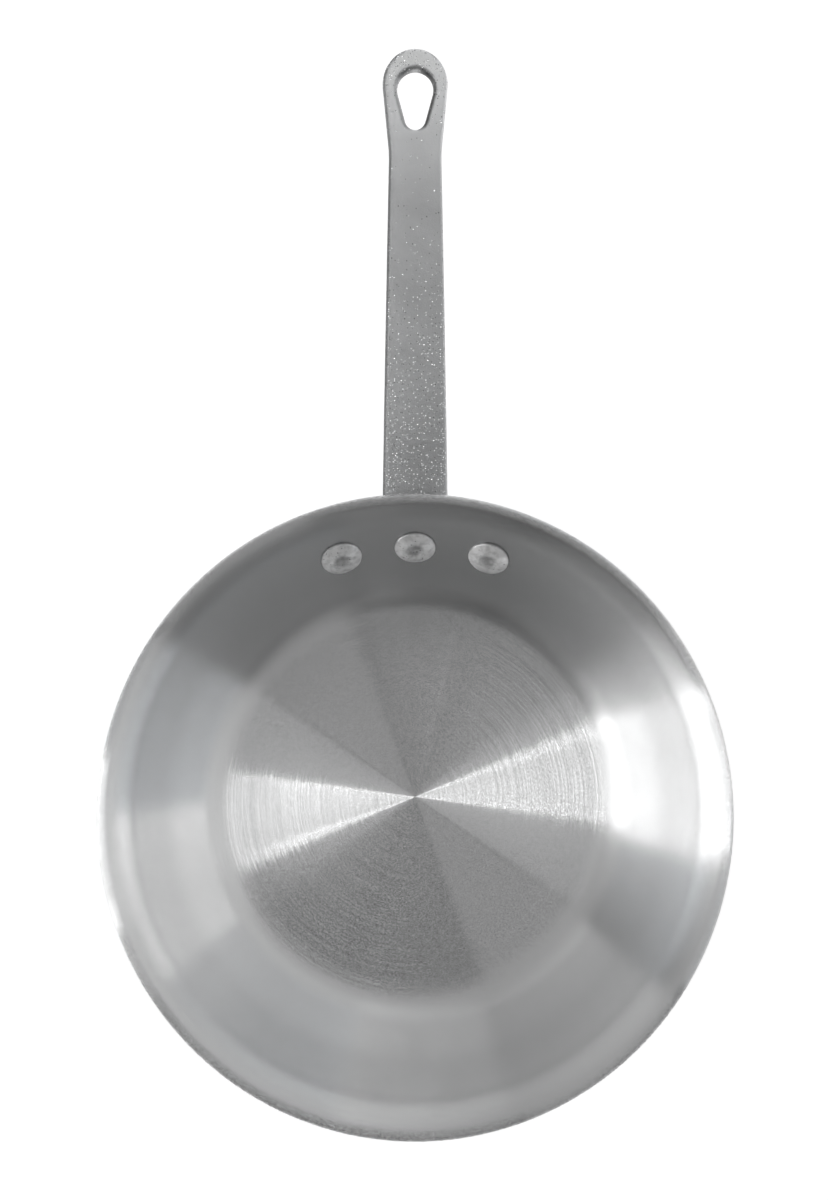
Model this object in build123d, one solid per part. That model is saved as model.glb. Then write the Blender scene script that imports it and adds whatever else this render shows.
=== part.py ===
from build123d import *
import os
from math import asin, atan2, cos, degrees, hypot, radians, sin, sqrt

# An omelette pan: a spun aluminium bowl with a flared lip, and a cast aluminium
# handle held to the outside of the wall by three rivets.
# Lengths are millimetres. The origin is the middle of the flat base, up is +Z and
# the handle runs along +Y.

# Bowl. Both bend radii are taken at the middle of the sheet.
rim_diameter = 260.0
pan_height = 51.0
sheet = 3.2
wall_slope = radians(56)
lip_slope = radians(12)
corner_radius = 22.0
flare_radius = 16.4

# Rivets. They stand square to the wall, this far down from the start of the flare.
rivet_drop = 12.5
rivet_spread = 17.0
rivet_count = 3
shank_diameter = 6.4
head_diameter = 18.4
head_height = 3.0
head_side = 1.3
head_round = 1.0
dimple_diameter = 9.6
dimple_depth = 0.9
tail_diameter = 12.4
tail_height = 3.2
tail_side = 1.6
rivet_gap = 0.1

# Handle. Its slopes are those of the top line at the rim and at the far end. The neck
# is that far back from the middle of the eye.
handle_reach = 174.0
handle_drop = 7.4
root_slope = radians(20)
end_slope = radians(10)
root_width = 28.1
neck_width = 21.4
neck_back = 26.5
neck_blend = 45.0
eye_diameter = 26.5
root_thickness = 8.4
end_thickness = 5.0
crown_radius = 110.0
top_round = 1.5
under_round = 2.0

# Hanging hole, an egg shape with its small end towards the bowl.
hole_diameter = 14.6
hole_small_diameter = 8.3
hole_length = 23.1
hole_inset = 8.5
hole_round = 2.0

# Hollow in the underside of the handle. It starts that far out from the rim and ends
# that far back from the middle of the eye.
hollow_start = 34.0
hollow_back = 43.0
hollow_start_width = 14.0
hollow_end_width = 9.0
hollow_depth = 3.0
hollow_round = 1.5

# Winged flange behind the wall
flange_thickness = 5.0
flange_height = 25.0
wing_height = 21.0
flange_round = 1.6
web_radius = 16.0
seat_gap = 0.05
spot_margin = 1.0

# Cutters run past what they cut by this much, and edges this close lie on a cutter
overrun = 12.0
touching = 0.001

# Sizes that follow
rim_radius = rim_diameter / 2
half_sheet = sheet / 2
corner_rise = corner_radius * (1 - cos(wall_slope))
flare_rise = flare_radius * (cos(lip_slope) - cos(wall_slope))
wall_length = (pan_height - sheet - corner_rise - flare_rise) / sin(wall_slope)
flare_reach = flare_radius * (sin(wall_slope) - sin(lip_slope))
wall_reach = wall_length * cos(wall_slope)
floor_radius = rim_radius - half_sheet - flare_reach - wall_reach - corner_radius * sin(wall_slope)
lip_middle = (rim_radius - half_sheet, pan_height - half_sheet)
corner_centre = (floor_radius, half_sheet + corner_radius)
flare_centre = (
    lip_middle[0] + flare_radius * sin(lip_slope),
    lip_middle[1] - flare_radius * cos(lip_slope),
)
rivet_radial = flare_centre[0] - flare_radius * sin(wall_slope) - rivet_drop * cos(wall_slope)
rivet_level = flare_centre[1] + flare_radius * cos(wall_slope) - rivet_drop * sin(wall_slope)

handle_end = rim_radius + handle_reach
bend_radius = handle_reach / (sin(root_slope) - sin(end_slope))
bend_centre = (
    rim_radius + bend_radius * sin(root_slope),
    pan_height - handle_drop - bend_radius * cos(root_slope),
)
eye_radius = eye_diameter / 2
eye_place = handle_end - eye_radius
neck_place = eye_place - neck_back
neck_half = neck_width / 2
root_half = root_width / 2


def on_skin(centre, radius, slope):
    """Point of a bend, where the skin rises at this slope."""
    return centre[0] - radius * sin(slope), centre[1] + radius * cos(slope)


def bowl_skin(offset):
    """Edges from the floor to the lip, this far outside the middle of the sheet."""
    low = on_skin(corner_centre, -corner_radius - offset, wall_slope)
    high = on_skin(flare_centre, flare_radius - offset, wall_slope)
    bend = degrees(wall_slope)
    corner = CenterArc(corner_centre, corner_radius + offset, -90, bend)
    flare = CenterArc(flare_centre, flare_radius - offset, 90 + bend, degrees(lip_slope) - bend)
    return [corner, Line(low, high), flare]


def bowl_blank():
    """Spun bowl before its holes are drilled."""
    outer = bowl_skin(half_sheet)
    inner = bowl_skin(-half_sheet)
    lip = CenterArc(lip_middle, half_sheet, degrees(lip_slope) - 90, 180)
    base = Polyline((floor_radius, sheet), (0, sheet), (0, 0), (floor_radius, 0))
    section = make_face(outer + inner + [lip, base])
    return revolve(Plane.XZ * section, Axis.Z)


def bowl_envelope(gap):
    """Everything inside the outer skin of the bowl, grown by a gap."""
    outer = bowl_skin(half_sheet + gap)
    lip = CenterArc(lip_middle, half_sheet + gap, degrees(lip_slope) - 90, 180 - degrees(lip_slope))
    inside = Polyline(
        (lip_middle[0], pan_height + gap),
        (0, pan_height + gap),
        (0, -gap),
        (floor_radius, -gap),
    )
    return revolve(Plane.XZ * make_face(outer + [lip, inside]), Axis.Z)


def rivet_places():
    """Angle of each rivet about the bowl, from left to right seen along the handle."""
    middle = (rivet_count - 1) / 2
    return [rivet_spread * (middle - number) for number in range(rivet_count)]


def at_rivet(shape, angle):
    """Stand a shape on the middle of the sheet at a rivet, its +Z out of the bowl."""
    wall = Plane(
        origin=(0, rivet_radial, rivet_level),
        x_dir=(1, 0, 0),
        z_dir=(0, sin(wall_slope), -cos(wall_slope)),
    )
    return Rot(Z=angle) * (wall * shape)


def post(diameter, start, end):
    """Round bar along Z between two heights."""
    return Pos(Z=start) * extrude(Circle(diameter / 2), end - start)


def button(diameter, height, side, edge_round):
    """Low domed rivet head that stands on Z zero."""
    radius = diameter / 2
    shoulder = (radius - edge_round, side)
    dome_radius = (shoulder[0] ** 2 + (height - side) ** 2) / (2 * (height - side))
    dome = RadiusArc((0, height), shoulder, dome_radius)
    turn = RadiusArc(shoulder, (radius, side - edge_round), edge_round)
    rest = Polyline((radius, side - edge_round), (radius, -side), (0, -side), (0, height))
    return revolve(Plane.XZ * make_face([dome, turn, rest]), Axis.Z)


def rivet(angle, blank):
    """One set rivet: domed head inside the bowl, shank, and upset tail outside."""
    ball = ((dimple_diameter / 2) ** 2 + dimple_depth ** 2) / (2 * dimple_depth)
    head = button(head_diameter, head_height, head_side, head_round)
    head -= Pos(Z=head_height - dimple_depth + ball) * Sphere(ball)
    seated = at_rivet(Pos(Z=-half_sheet) * Rot(X=180) * head, angle) - blank
    tail_seat = half_sheet + seat_gap + flange_thickness
    tail = button(tail_diameter, tail_height, tail_side, head_round)
    tail -= post(tail_diameter, -tail_side, 0)
    outside = Pos(Z=tail_seat) * tail + post(shank_diameter, -half_sheet - head_side, tail_seat)
    return seated + at_rivet(outside, angle)


def pan_body(blank):
    """Bowl with its rivet holes."""
    bowl = blank
    for angle in rivet_places():
        drill = post(shank_diameter + 2 * rivet_gap, -overrun, overrun)
        bowl -= at_rivet(drill, angle)
    return bowl


def egg(low, low_radius, high, high_radius):
    """Face of two circles on the Y axis and the straight sides that touch both."""
    lean = asin((high_radius - low_radius) / (high - low))
    turn = degrees(lean)
    low_side = (low_radius * cos(lean), low - low_radius * sin(lean))
    high_side = (high_radius * cos(lean), high - high_radius * sin(lean))
    right = Line(low_side, high_side)
    left = Line((-high_side[0], high_side[1]), (-low_side[0], low_side[1]))
    top = CenterArc((0, high), high_radius, -turn, 180 + 2 * turn)
    bottom = CenterArc((0, low), low_radius, 180 + turn, 180 - 2 * turn)
    return make_face([right, top, left, bottom])


def handle_outline():
    """Handle seen from above, from inside the wall to the round end of the eye."""
    flare_half = root_half + web_radius
    web_end = (root_half, rim_radius)
    web = CenterArc((flare_half, web_end[1]), web_radius, 180, 90)
    inner = web_end[1] - web_radius
    neck = (neck_half, neck_place)
    to_eye = eye_place - neck_place
    reach = hypot(neck_half, to_eye)
    heading = atan2(to_eye, -neck_half) - asin(eye_radius / reach)
    side = sqrt(reach ** 2 - eye_radius ** 2)
    touch = (neck_half + side * cos(heading), neck_place + side * sin(heading))
    round_end = ThreePointArc(
        touch,
        (eye_radius * cos(radians(45)), eye_place + eye_radius * sin(radians(45))),
        (0, handle_end),
    )
    half = [
        Polyline((0, inner - overrun), (flare_half, inner - overrun), (flare_half, inner)),
        web,
        Polyline(web_end, neck, touch),
        round_end,
    ]
    right = make_face(half + [Line((0, handle_end), (0, inner - overrun))])
    face = right + mirror(right, Plane.YZ)
    necks = [v for v in face.vertices() if abs(v.Y - neck_place) < neck_half / 2]
    return fillet(necks, neck_blend)


def on_bend(depth, slope):
    """Point this far below the top line of the handle, where it rises at this slope."""
    return on_skin(bend_centre, bend_radius - depth, slope)


def depth_line(start_depth, end_depth):
    """Arc below the top line of the handle, from one depth to another."""
    lead = overrun * 2 / bend_radius
    slopes = [root_slope + lead, (root_slope + end_slope) / 2, end_slope - lead]
    depths = [start_depth, (start_depth + end_depth) / 2, end_depth]
    return ThreePointArc(*[on_bend(depth, slope) for depth, slope in zip(depths, slopes)])


def side_slab(upper, lower):
    """Side view of a layer of the handle, between two pairs of depths."""
    over = depth_line(*upper)
    under = depth_line(*lower)
    section = make_face([over, under, Line(over @ 0, under @ 0), Line(over @ 1, under @ 1)])
    return extrude(Plane.YZ * section, root_width + web_radius + overrun, both=True)


def crowned_bar():
    """Bar bent to the top line of the handle, with its crowned top."""
    half = root_half + web_radius + overrun
    drop = crown_radius - sqrt(crown_radius ** 2 - half ** 2)
    edge = bend_radius - drop
    crown = ThreePointArc((-half, edge), (0, bend_radius), (half, edge))
    below = bend_radius - drop - overrun * 2
    rest = Polyline((half, edge), (half, below), (-half, below), (-half, edge))
    lead = overrun * 2 / bend_radius
    first = root_slope + lead
    across = Plane(
        origin=(0, bend_centre[0], bend_centre[1]),
        x_dir=(1, 0, 0),
        z_dir=(0, -cos(first), -sin(first)),
    )
    turn = Axis((0, bend_centre[0], bend_centre[1]), (-1, 0, 0))
    sweep_angle = degrees(first - end_slope + lead)
    return revolve(across * make_face([crown, rest]), turn, sweep_angle)


def flange():
    """Winged flange that follows the wall, before the bowl is cut from it."""
    face_depth = half_sheet + seat_gap + flange_thickness
    spread = radians(rivet_spread)
    radial = rivet_radial + face_depth * sin(wall_slope)
    across = radial * sin(spread)
    along = radial * (1 - cos(spread)) * cos(wall_slope)
    discs = [Circle(flange_height / 2)]
    for side in (-1, 1):
        discs.append(Pos(side * across, along) * Circle(wing_height / 2))
    wings = make_hull([disc.edge() for disc in discs])
    prism = at_rivet(Pos(Z=-overrun) * extrude(wings, overrun * 3), 0)
    strip = Polyline(
        (-overrun, flange_height),
        (face_depth, flange_height),
        (face_depth, -flange_height),
        (-overrun, -flange_height),
        close=True,
    )
    beside = Plane(
        origin=(0, rivet_radial, rivet_level),
        x_dir=(0, sin(wall_slope), -cos(wall_slope)),
        z_dir=(1, 0, 0),
    )
    half_turn = rivet_spread * 2
    band = revolve(Rot(Z=-half_turn) * (beside * make_face(strip)), Axis.Z, half_turn * 2)
    plate = band & prism
    outward = Vector(0, sin(wall_slope), -cos(wall_slope))
    front = max(plate.faces(), key=lambda face: face.center().dot(outward))
    return fillet(front.edges(), flange_round)


def hanging_hole():
    """Tool that cuts the egg-shaped hole square to the top of the eye."""
    slope = asin((bend_centre[0] - eye_place) / bend_radius)
    top = on_bend(0, slope)
    square = Plane(origin=(0, top[0], top[1]), x_dir=(1, 0, 0), z_dir=(0, -sin(slope), cos(slope)))
    big = hole_diameter / 2
    small = hole_small_diameter / 2
    high = eye_radius - hole_inset - big
    low = high - hole_length + big + small
    return square * extrude(egg(low, small, high, big), overrun, both=True)


def underside_hollow():
    """Tool that cuts the long hollow in the underside."""
    outline = egg(
        rim_radius + hollow_start,
        hollow_start_width / 2,
        eye_place - hollow_back,
        hollow_end_width / 2,
    )
    roof_depths = (root_thickness - hollow_depth, end_thickness - hollow_depth)
    below = (root_thickness + overrun, end_thickness + overrun)
    tool = extrude(outline, pan_height + handle_reach) & side_slab(roof_depths, below)
    roof = tool.faces().sort_by(Axis.Z)[-1]
    return fillet(roof.edges(), hollow_round)


def level_edges(bar):
    """Edges of the handle that run along or across it, not through its thickness."""
    return [edge for edge in bar.edges() if abs((edge % (1 / 2)).Z) < sin(radians(45))]


def long_edges(bar, upper):
    """Edges around the outline of the handle, those on its top or those below."""
    half_depth = (root_thickness + end_thickness) / 4
    chosen = []
    for edge in level_edges(bar):
        middle = edge @ (1 / 2)
        out = hypot(middle.Y - bend_centre[0], middle.Z - bend_centre[1])
        on_top = out > bend_radius - half_depth
        if on_top == upper and middle.Y > rim_radius - web_radius:
            chosen.append(edge)
    return chosen


def pierce(bar):
    """Handle with its hanging hole, rounded above and below."""
    tool = hanging_hole()
    bar -= tool
    rims = [edge for edge in level_edges(bar) if edge.distance_to(tool) < touching]
    return fillet(rims, hole_round)


def handle_bar():
    """Crowned shaft and eye with rounded edges."""
    plan = extrude(handle_outline(), pan_height + handle_reach)
    layer = side_slab((-overrun, -overrun), (root_thickness, end_thickness))
    bar = plan & crowned_bar() & layer
    bar = fillet(long_edges(bar, True), top_round)
    bar = fillet(long_edges(bar, False), under_round)
    return pierce(bar - underside_hollow())


def handle():
    """Cast handle: flange, shaft and eye in one piece."""
    casting = handle_bar() + flange()
    casting -= bowl_envelope(seat_gap)
    face = half_sheet + seat_gap + flange_thickness
    drill = post(shank_diameter + 2 * rivet_gap, -overrun, overrun)
    spot = post(tail_diameter + 2 * spot_margin, face, face + overrun)
    for angle in rivet_places():
        casting -= at_rivet(drill, angle)
        casting -= at_rivet(spot, angle)
    return casting


def main():
    """Build each piece and write it to its own file."""
    blank = bowl_blank()
    shapes = {"pan_body": pan_body(blank), "handle": handle()}
    for name, angle in zip(("rivet_left", "rivet_centre", "rivet_right"), rivet_places()):
        shapes[name] = rivet(angle, blank)
    os.makedirs("parts", exist_ok=True)
    for name, shape in shapes.items():
        export_step(shape, f"parts/{name}.step")


main()
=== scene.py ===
import logging
import math
from dataclasses import dataclass, field
from enum import Enum

import bpy
from mathutils import Matrix, Vector


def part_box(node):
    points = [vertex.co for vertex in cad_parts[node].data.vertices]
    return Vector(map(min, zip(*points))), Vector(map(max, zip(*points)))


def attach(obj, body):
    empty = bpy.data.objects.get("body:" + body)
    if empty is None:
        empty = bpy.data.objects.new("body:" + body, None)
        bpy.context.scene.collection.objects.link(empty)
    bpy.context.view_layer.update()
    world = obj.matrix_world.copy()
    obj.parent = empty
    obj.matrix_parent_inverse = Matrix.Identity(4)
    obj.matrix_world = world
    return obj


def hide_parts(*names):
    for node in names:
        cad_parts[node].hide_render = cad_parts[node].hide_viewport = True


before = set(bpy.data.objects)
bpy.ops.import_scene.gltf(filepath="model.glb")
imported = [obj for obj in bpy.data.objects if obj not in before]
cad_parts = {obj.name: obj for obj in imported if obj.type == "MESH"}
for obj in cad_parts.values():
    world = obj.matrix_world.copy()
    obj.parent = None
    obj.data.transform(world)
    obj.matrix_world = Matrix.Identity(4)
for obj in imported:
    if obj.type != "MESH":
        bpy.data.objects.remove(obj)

log = logging.getLogger("omelette_pan")

MM = 0.001
ROOT_BODY = "root"
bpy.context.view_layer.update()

PHOTO_HEIGHT = 1200
FULL_TURN = 360.0


class Slot(Enum):
    """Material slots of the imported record."""

    SPUN = "spun_aluminium"
    CAST = "cast_aluminium"
    RIVET = "rivet_aluminium"


class Shading(Enum):
    """How the normals of a finished piece are smoothed."""

    SMOOTH = "smooth"
    BY_ANGLE = "by_angle"


def deselect_all() -> None:
    """Leave edit mode and select nothing."""
    if bpy.context.object and bpy.context.object.mode != "OBJECT":
        bpy.ops.object.mode_set(mode="OBJECT")
    bpy.ops.object.select_all(action="DESELECT")


def make_active(piece: bpy.types.Object) -> None:
    """Select one object alone and make it the active one.

    Args:
        piece: The object to work on next.
    """
    deselect_all()
    piece.select_set(True)
    bpy.context.view_layer.objects.active = piece


def apply_modifier(piece: bpy.types.Object, kind: str, **settings: object) -> None:
    """Add a modifier, set its values and apply it at once.

    Args:
        piece: The object that is changed.
        kind: The modifier's type, such as REMESH.
        settings: Attributes of the modifier.
    """
    make_active(piece)
    modifier = piece.modifiers.new(kind.title(), kind)
    for name, value in settings.items():
        setattr(modifier, name, value)
    bpy.ops.object.modifier_apply(modifier=modifier.name)


def settle(piece: bpy.types.Object, shading: Shading, angle: float = 0.0) -> None:
    """Put a piece's place into its mesh, point its faces outwards and smooth it.

    Args:
        piece: The finished piece.
        shading: How its normals are smoothed.
        angle: Edges sharper than this stay sharp, in radians.
    """
    make_active(piece)
    bpy.ops.object.transform_apply(location=True, rotation=True, scale=True)
    bpy.ops.object.mode_set(mode="EDIT")
    bpy.ops.mesh.select_all(action="SELECT")
    bpy.ops.mesh.normals_make_consistent(inside=False)
    bpy.ops.object.mode_set(mode="OBJECT")
    if shading is Shading.SMOOTH:
        bpy.ops.object.shade_smooth()
    else:
        bpy.ops.object.shade_smooth_by_angle(angle=angle)


class NodeDesk:
    """Lays out shader nodes in one tree, from left to right."""

    COLUMN = 190.0
    ROW = 160.0
    ROWS = 4

    def __init__(self, tree: bpy.types.NodeTree) -> None:
        """Clear a node tree and get ready to fill it.

        Args:
            tree: The tree of a material, a world or a node group.
        """
        self.tree = tree
        self.tree.nodes.clear()
        self.count = 0

    def add(self, kind: str, inputs: dict | None = None, **settings: object) -> bpy.types.Node:
        """Add one node.

        Args:
            kind: The node's type name.
            inputs: Socket names or numbers, each with a value or a socket to link.
            settings: Attributes of the node.

        Returns:
            The new node.
        """
        node = self.tree.nodes.new(kind)
        column, row = divmod(self.count, self.ROWS)
        node.location = (self.COLUMN * column, -self.ROW * row)
        self.count += 1
        for name, value in settings.items():
            setattr(node, name, value)
        for name, value in (inputs or {}).items():
            self.feed(node.inputs[name], value)
        return node

    def feed(self, socket: bpy.types.NodeSocket, value: object) -> None:
        """Link a socket to another socket, or set its value.

        Args:
            socket: The input to fill.
            value: An output socket or a plain value.
        """
        if isinstance(value, bpy.types.NodeSocket):
            self.tree.links.new(value, socket)
        else:
            socket.default_value = value

    def math(self, operation: str, *values: object) -> bpy.types.NodeSocket:
        """Add a Math node on numbers or sockets, in order, and give its output."""
        inputs = dict(enumerate(values))
        return self.add("ShaderNodeMath", inputs, operation=operation).outputs[0]

    def vector(self, operation: str, *values: object) -> bpy.types.NodeSocket:
        """Add a Vector Math node on vectors or sockets, in order, and give its vector output."""
        inputs = dict(enumerate(values))
        return self.add("ShaderNodeVectorMath", inputs, operation=operation).outputs[0]

    def scaled(self, vector: object, factor: object) -> bpy.types.NodeSocket:
        """Scale a vector.

        Args:
            vector: The vector or its socket.
            factor: The factor or its socket.

        Returns:
            The scaled vector's socket.
        """
        node = self.add("ShaderNodeVectorMath", operation="SCALE")
        self.feed(node.inputs[0], vector)
        self.feed(node.inputs["Scale"], factor)
        return node.outputs[0]

    def span(self, value: object, low: object, high: object, to_low: object, to_high: object) -> object:
        """Map a value from the range low to high to the other range, without leaving that."""
        inputs = {0: value, 1: low, 2: high, 3: to_low, 4: to_high}
        return self.add("ShaderNodeMapRange", inputs).outputs[0]

    def noise(self, vector: object, scale: float, detail: float, roughness: float = 0.5) -> object:
        """Add a Noise Texture, its scale in features per metre, and give its value from 0 to 1."""
        inputs = {"Vector": vector, "Scale": scale, "Detail": detail, "Roughness": roughness}
        return self.add("ShaderNodeTexNoise", inputs).outputs[0]

    def ramp(self, value: object, stops: list[tuple[float, tuple]]) -> bpy.types.NodeSocket:
        """Add a Color Ramp.

        Args:
            value: The number or socket that picks the colour.
            stops: Place and colour of each stop, in order.

        Returns:
            The colour's socket.
        """
        node = self.add("ShaderNodeValToRGB", {0: value})
        elements = node.color_ramp.elements
        while len(elements) < len(stops):
            elements.new(1.0)
        for element, (place, colour) in zip(elements, stops):
            element.position = place
            element.color = colour
        return node.outputs[0]


def new_group(name: str, inputs: tuple[str, ...], outputs: tuple[str, ...]) -> bpy.types.NodeTree:
    """Make an empty shader node group with float inputs.

    Args:
        name: The group's name.
        inputs: Names of its inputs, whose values each material gives.
        outputs: Names of its outputs; one that ends in Direction is a vector.

    Returns:
        The new group.
    """
    tree = bpy.data.node_groups.new(name, "ShaderNodeTree")
    for label in inputs:
        tree.interface.new_socket(name=label, in_out="INPUT", socket_type="NodeSocketFloat")
    for label in outputs:
        kind = "NodeSocketVector" if label.endswith("Direction") else "NodeSocketFloat"
        tree.interface.new_socket(name=label, in_out="OUTPUT", socket_type=kind)
    return tree


def grey(value: float, warmth: float = 0.0) -> tuple[float, float, float, float]:
    """Linear grey with a slight warm or cool cast.

    Args:
        value: Brightness, where 1 is white.
        warmth: Above zero for a warmer grey, below zero for a cooler one.

    Returns:
        The colour with full alpha.
    """
    return (value * (1 + warmth), value, value * (1 - warmth), 1.0)


@dataclass(frozen=True)
class RingNoise:
    """Noise that changes fast from ring to ring and slowly round the pan.

    The rate is in features per metre. The drift is the share of it that acts round the
    pan, and the shift keeps one noise apart from the next.
    """

    rate: float
    detail: float
    drift: float
    shift: float


@dataclass
class TurningRings:
    """Rings left by turning a spun sheet, worked out about the Z axis.

    Each ring leans a little along the radius, which spreads its shine. On the floor it
    also leans round the pan, which frays the edge of a reflection. Ranges of the radius
    are in metres. A sector is an azimuth in degrees, with how strongly the rings are
    painted into the colour there: a painted reflection, strong where the room's lights
    catch the rings and faint elsewhere.
    """

    inputs: tuple[str, ...] = (
        "Fine Slope",
        "Coarse Slope",
        "Fray",
        "Floor Edge",
        "Ring Pitch",
        "Wall Share",
        "Wall Slope",
        "Corner Ease",
        "Flare Ease",
        "Groove Lean",
    )
    outputs: tuple[str, ...] = ("Normal Direction", "Groove Direction", "Rings", "Floor")
    fine: RingNoise = RingNoise(rate=26000.0, detail=0.0, drift=0.05, shift=0.0)
    coarse: RingNoise = RingNoise(rate=1200.0, detail=1.0, drift=0.004, shift=3.0)
    frayed: RingNoise = RingNoise(rate=2300.0, detail=1.0, drift=0.010, shift=7.0)
    phase: RingNoise = RingNoise(rate=70.0, detail=2.0, drift=0.01, shift=11.0)
    patchy: RingNoise = RingNoise(rate=160.0, detail=2.0, drift=0.15, shift=17.0)
    marks_fade: float = 0.002
    finish_before: float = 0.003
    finish_after: float = 0.004
    lip: tuple[float, float] = (0.1250, 0.1272)
    wear: tuple[float, float] = (0.040, 0.068)
    wear_in_middle: float = 0.35
    corner_in: tuple[float, float] = (0.079, 0.089)
    corner_out: tuple[float, float] = (0.092, 0.108)
    flare_in: tuple[float, float] = (0.115, 0.122)
    flare_out: tuple[float, float] = (0.1245, 0.1270)
    lean_in: tuple[float, float] = (0.0, 0.055)
    phase_turns: float = 9.0
    patches: tuple[float, float] = (-0.12, 0.16)
    faintest_patch: float = 0.15
    tool_mark_gain: float = 0.40
    streak_gain: float = 1.9
    # painted reflection: azimuths in degrees, each with how strongly the rings are painted into the
    # colour there
    reflection_sectors: tuple[tuple[float, float], ...] = (
        (0.0, 0.9),
        (22.0, 1.0),
        (26.0, 0.6),
        (58.0, 0.5),
        (68.0, 0.06),
        (166.0, 0.06),
        (172.0, 0.8),
        (200.0, 0.8),
        (205.0, 0.4),
        (228.0, 0.7),
        (258.0, 0.7),
        (274.0, 0.06),
        (346.0, 0.06),
        (353.0, 0.8),
        (360.0, 0.9),
    )

    def __post_init__(self) -> None:
        """Open the group and lay out what its parts share."""
        self.tree = new_group("Turning", self.inputs, self.outputs)
        self.desk = desk = NodeDesk(self.tree)
        self.given = desk.add("NodeGroupInput").outputs
        place = desk.add("ShaderNodeTexCoord").outputs["Object"]
        parts = desk.add("ShaderNodeSeparateXYZ", {0: place}).outputs
        self.x, self.y = parts[0], parts[1]
        self.flat = desk.add("ShaderNodeCombineXYZ", {0: self.x, 1: self.y}).outputs[0]
        length = desk.add("ShaderNodeVectorMath", {0: self.flat}, operation="LENGTH")
        self.radius = length.outputs["Value"]
        self.along = desk.math("ADD", self.radius, parts[2])
        self.ring = desk.add("ShaderNodeCombineXYZ", {2: self.along}).outputs[0]
        edge = self.given["Floor Edge"]
        faded = desk.math("ADD", edge, self.marks_fade)
        self.on_floor = desk.span(self.radius, edge, faded, 1.0, 0.0)
        self.kept = desk.math("MAXIMUM", self.on_floor, self.given["Wall Share"])
        outer = desk.span(self.radius, *self.wear, self.wear_in_middle, 1.0)
        self.worn = desk.math("MULTIPLY", outer, self.kept)
        self.broad = self.noise(self.coarse)

    def noise(self, kind: RingNoise) -> bpy.types.NodeSocket:
        """Add one noise of the rings.

        Args:
            kind: Its rate, detail, drift and shift.

        Returns:
            The noise's socket, about zero.
        """
        desk = self.desk
        wander = desk.scaled(self.flat, kind.drift)
        there = desk.vector("ADD", self.ring, wander)
        there = desk.vector("ADD", there, (0.0, kind.shift, kind.shift))
        return desk.math("SUBTRACT", desk.noise(there, kind.rate, kind.detail), 0.5)

    def marks(self) -> bpy.types.NodeSocket:
        """Mix the even tool marks and the coarse streaks, with a painted reflection: they show strongly
        only at the azimuths where the room's lights catch them.

        Returns:
            The socket of a mask from 0, a dark ring, to 1, a light one.
        """
        desk = self.desk
        turns = desk.math("DIVIDE", self.along, self.given["Ring Pitch"])
        wander = desk.math("MULTIPLY", self.noise(self.phase), self.phase_turns)
        turns = desk.math("ADD", turns, wander)
        wave = desk.math("SINE", desk.math("MULTIPLY", turns, math.tau))
        depth = desk.span(self.noise(self.patchy), *self.patches, self.faintest_patch, 1.0)
        tool_marks = desk.math("MULTIPLY", desk.math("MULTIPLY", wave, depth), self.kept)
        tool_marks = desk.math("MULTIPLY", tool_marks, self.tool_mark_gain)
        streaks = desk.math("MULTIPLY", self.broad, self.worn)
        streaks = desk.math("MULTIPLY", streaks, self.streak_gain)
        marks = desk.math("ADD", tool_marks, streaks)
        about = desk.math("DIVIDE", desk.math("ARCTAN2", self.y, self.x), math.tau)
        about = desk.math("WRAP", about, 1.0, 0.0)
        # painted reflection: how strongly the rings show in the colour is set by azimuth, strong where
        # the room's lights catch them
        seen = [(place / FULL_TURN, grey(share)) for place, share in self.reflection_sectors]
        marks = desk.math("MULTIPLY", marks, desk.ramp(about, seen))
        return desk.span(marks, -1.0, 1.0, 0.0, 1.0)

    def eased(self, middle: object) -> bpy.types.NodeSocket:
        """Ease the corner and the flare, and lean the floor's grooves outwards.

        Args:
            middle: Mask of the floor.

        Returns:
            The slope's socket.
        """
        desk, radius, given = self.desk, self.radius, self.given
        corner = desk.math(
            "MULTIPLY",
            desk.span(radius, *self.corner_in, 0.0, given["Corner Ease"]),
            desk.span(radius, *self.corner_out, 1.0, 0.0),
        )
        flare = desk.math(
            "MULTIPLY",
            desk.span(radius, *self.flare_in, 0.0, given["Flare Ease"]),
            desk.span(radius, *self.flare_out, 1.0, 0.0),
        )
        groove = desk.span(radius, *self.lean_in, 0.0, given["Groove Lean"])
        groove = desk.math("MULTIPLY", groove, middle)
        return desk.math("ADD", desk.math("SUBTRACT", corner, flare), groove)

    def build(self) -> bpy.types.NodeTree:
        """Fill the group.

        Returns:
            A group that gives the ring's normal, its direction, a mask of light and dark
            rings with their painted reflection by azimuth, and a mask of the floor's finish, which the
            lip has too.
        """
        desk, radius, given = self.desk, self.radius, self.given
        edge = given["Floor Edge"]
        before = desk.math("SUBTRACT", edge, self.finish_before)
        after = desk.math("ADD", edge, self.finish_after)
        middle = desk.span(radius, before, after, 1.0, 0.0)
        spread = desk.math("MAXIMUM", middle, desk.span(radius, *self.lip, 0.0, 1.0))
        slopes = {0: spread, 2: given["Wall Slope"], 3: given["Fine Slope"]}
        fine_slope = desk.add("ShaderNodeMix", slopes).outputs[0]
        fine = desk.math("MULTIPLY", self.noise(self.fine), fine_slope)
        broad = desk.math("MULTIPLY", self.broad, given["Coarse Slope"])
        broad = desk.math("MULTIPLY", broad, self.worn)
        slope = desk.math("ADD", desk.math("ADD", fine, broad), self.eased(middle))

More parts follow.
